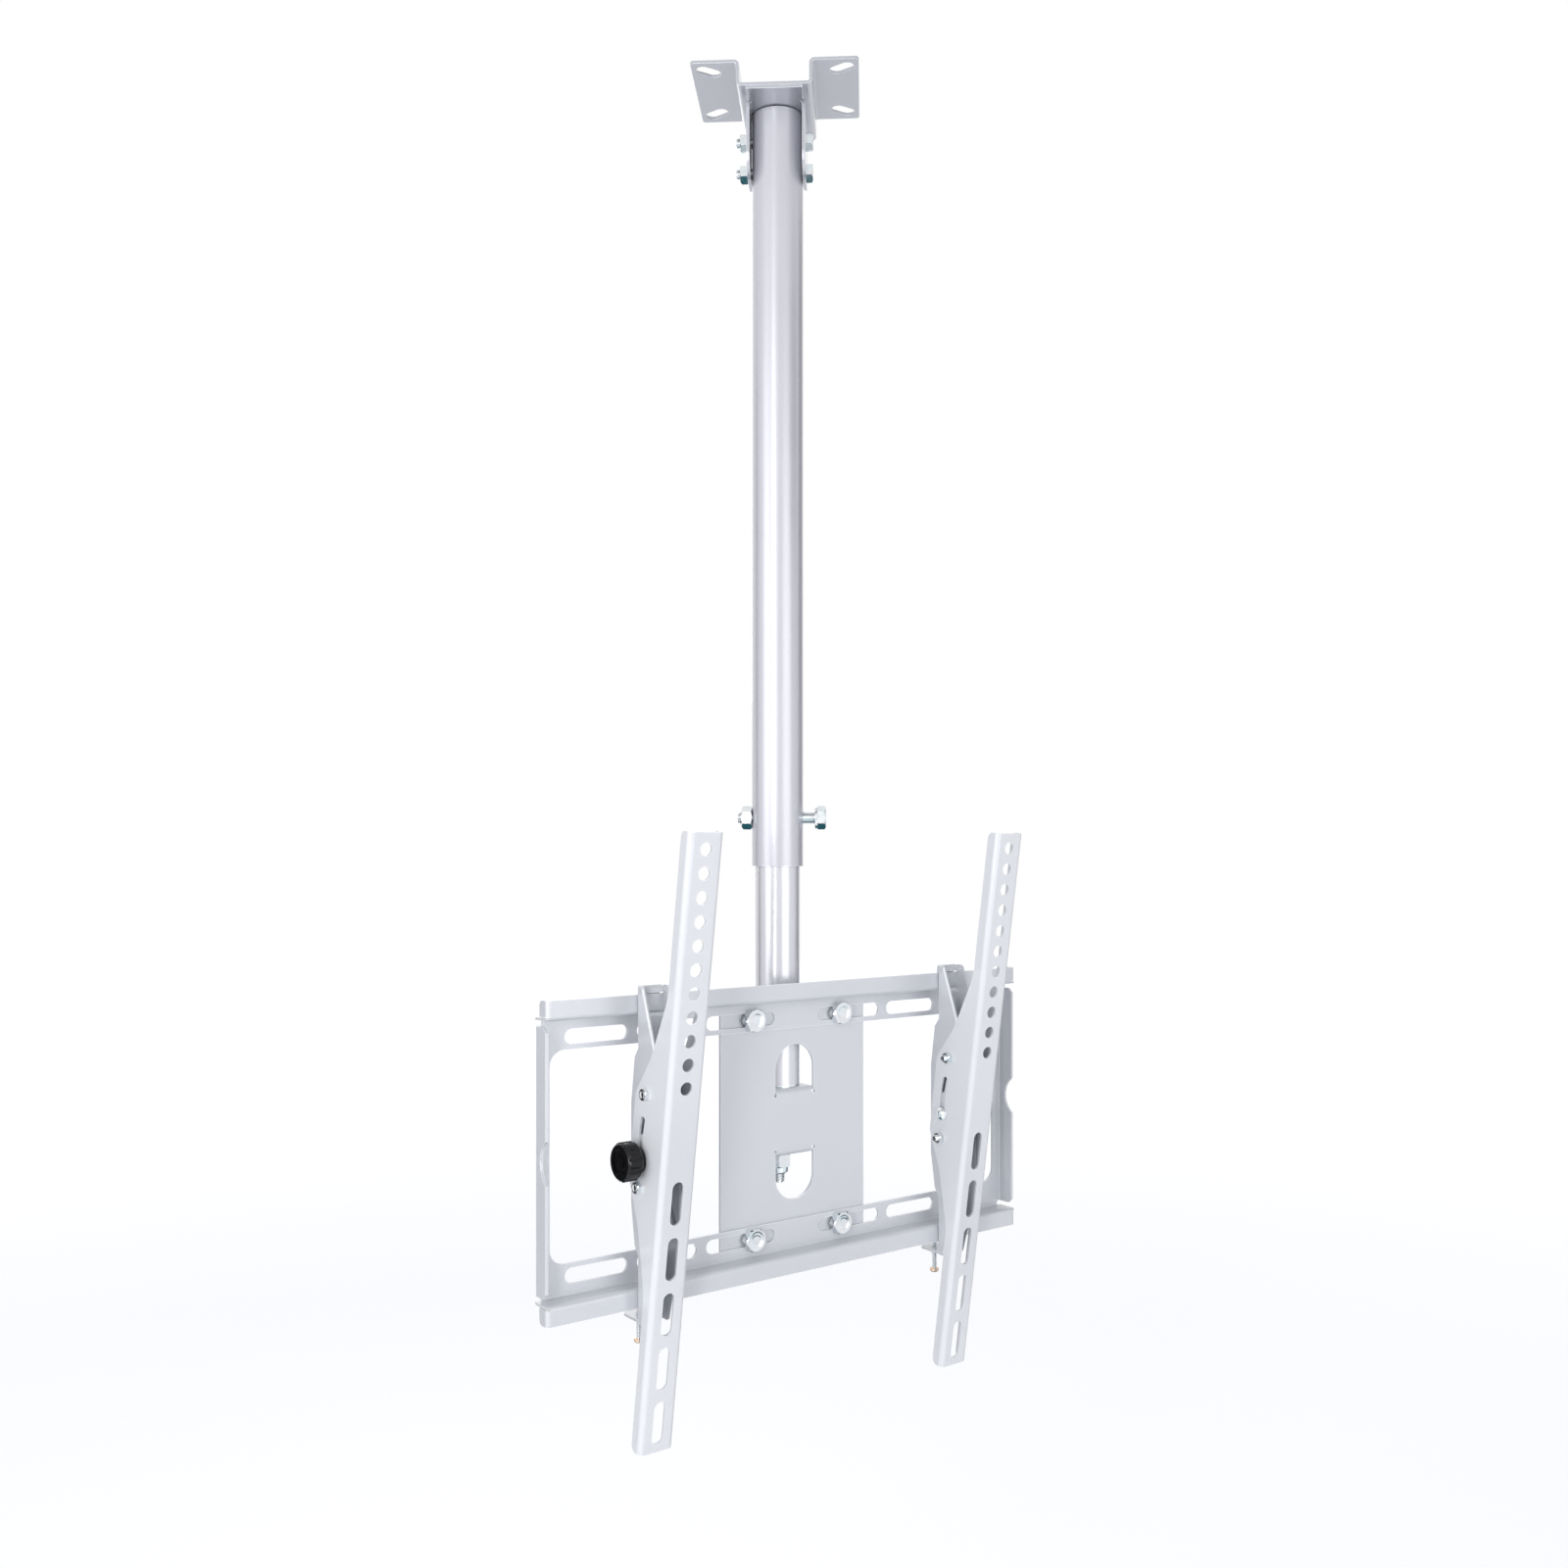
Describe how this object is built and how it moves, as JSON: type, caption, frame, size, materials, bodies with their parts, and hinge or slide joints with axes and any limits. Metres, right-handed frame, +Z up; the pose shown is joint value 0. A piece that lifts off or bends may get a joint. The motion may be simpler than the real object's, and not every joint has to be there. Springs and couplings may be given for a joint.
{
  "type": "television ceiling mount",
  "caption": "Telescoping pole hung from a slotted ceiling plate, with a swivelling slotted frame and hooked tilting arms that carry a flat television.",
  "frame": {"origin": "on the ceiling, at the pole's axis, midway between the four ceiling slots", "axes": "+Z up along the pole into the ceiling, +X along the frame's rails, the television on the -Y side"},
  "size_m": [0.446, 0.1863, 1.0201],
  "materials": {
    "bracket_paint": "satin silver-grey powder coat",
    "pole_paint": "satin silver-grey powder coat",
    "frame_paint": "satin silver-grey powder coat",
    "arm_paint": "satin silver-grey powder coat",
    "zinc": "bright zinc plate",
    "steel": "plain steel",
    "knob_plastic": "glossy black"
  },
  "bodies": {
    "ceiling_pole": {"ceiling_plate": "bracket_paint", "pole_clevis": "bracket_paint", "clevis_bolts": "zinc", "clevis_nuts": "zinc", "outer_tube": "pole_paint", "inner_tube": "pole_paint", "height_bolt": "zinc", "height_washer": "zinc", "height_nut": "zinc", "tube_end_plug": "steel", "swivel_bolt": "zinc", "thrust_washer": "zinc", "swivel_washer": "zinc", "swivel_nut": "zinc"},
    "screen_frame": {"centre_plate": "frame_paint", "tv_frame": "frame_paint", "frame_bolts": "zinc", "frame_nuts": "zinc"},
    "left_bracket": {"left_hook_bracket": "frame_paint", "left_knob_bolt": "zinc", "left_safety_nut": "zinc"},
    "left_arm": {"left_tilt_arm": "arm_paint", "left_tilt_pins": "zinc", "left_pin_nuts": "zinc", "left_pin_spacers": "zinc"},
    "left_knob_body": {"left_knob": "knob_plastic"},
    "left_screw_body": {"left_safety_screw": "zinc"},
    "right_bracket": {"right_hook_bracket": "frame_paint", "right_knob_bolt": "zinc", "right_safety_nut": "zinc"},
    "right_arm": {"right_tilt_arm": "arm_paint", "right_tilt_pins": "zinc", "right_pin_nuts": "zinc", "right_pin_spacers": "zinc"},
    "right_knob_body": {"right_knob": "knob_plastic"},
    "right_screw_body": {"right_safety_screw": "zinc"}
  },
  "joints": [
    {"name": "swivel", "type": "hinge", "parent": "ceiling_pole", "child": "screen_frame", "pos_m": [0, 0, -0.782], "axis": [0, 0, 1], "continuous": true},
    {"name": "left_slide", "type": "slide", "parent": "screen_frame", "child": "left_bracket", "axis": [1, 0, 0], "range_m": [-0.06, 0.09]},
    {"name": "left_tilt", "type": "hinge", "parent": "left_bracket", "child": "left_arm", "pos_m": [-0.141, -0.142, -0.8129], "axis": [1, 0, 0], "range_deg": [-17, 0]},
    {"name": "left_knob_turn", "type": "hinge", "parent": "left_bracket", "child": "left_knob_body", "pos_m": [-0.161, -0.0475, -0.8129], "axis": [-1, 0, 0], "continuous": true},
    {"name": "left_screw_travel", "type": "slide", "parent": "left_bracket", "child": "left_screw_body", "axis": [0, 0, 1], "range_m": [0, 0.0125]},
    {"name": "right_slide", "type": "slide", "parent": "screen_frame", "child": "right_bracket", "axis": [1, 0, 0], "range_m": [-0.09, 0.06]},
    {"name": "right_tilt", "type": "hinge", "parent": "right_bracket", "child": "right_arm", "pos_m": [0.145, -0.142, -0.8129], "axis": [1, 0, 0], "range_deg": [-17, 0]},
    {"name": "right_knob_turn", "type": "hinge", "parent": "right_bracket", "child": "right_knob_body", "pos_m": [0.165, -0.0475, -0.8129], "axis": [1, 0, 0], "continuous": true},
    {"name": "right_screw_travel", "type": "slide", "parent": "right_bracket", "child": "right_screw_body", "axis": [0, 0, 1], "range_m": [0, 0.0125]}
  ]
}
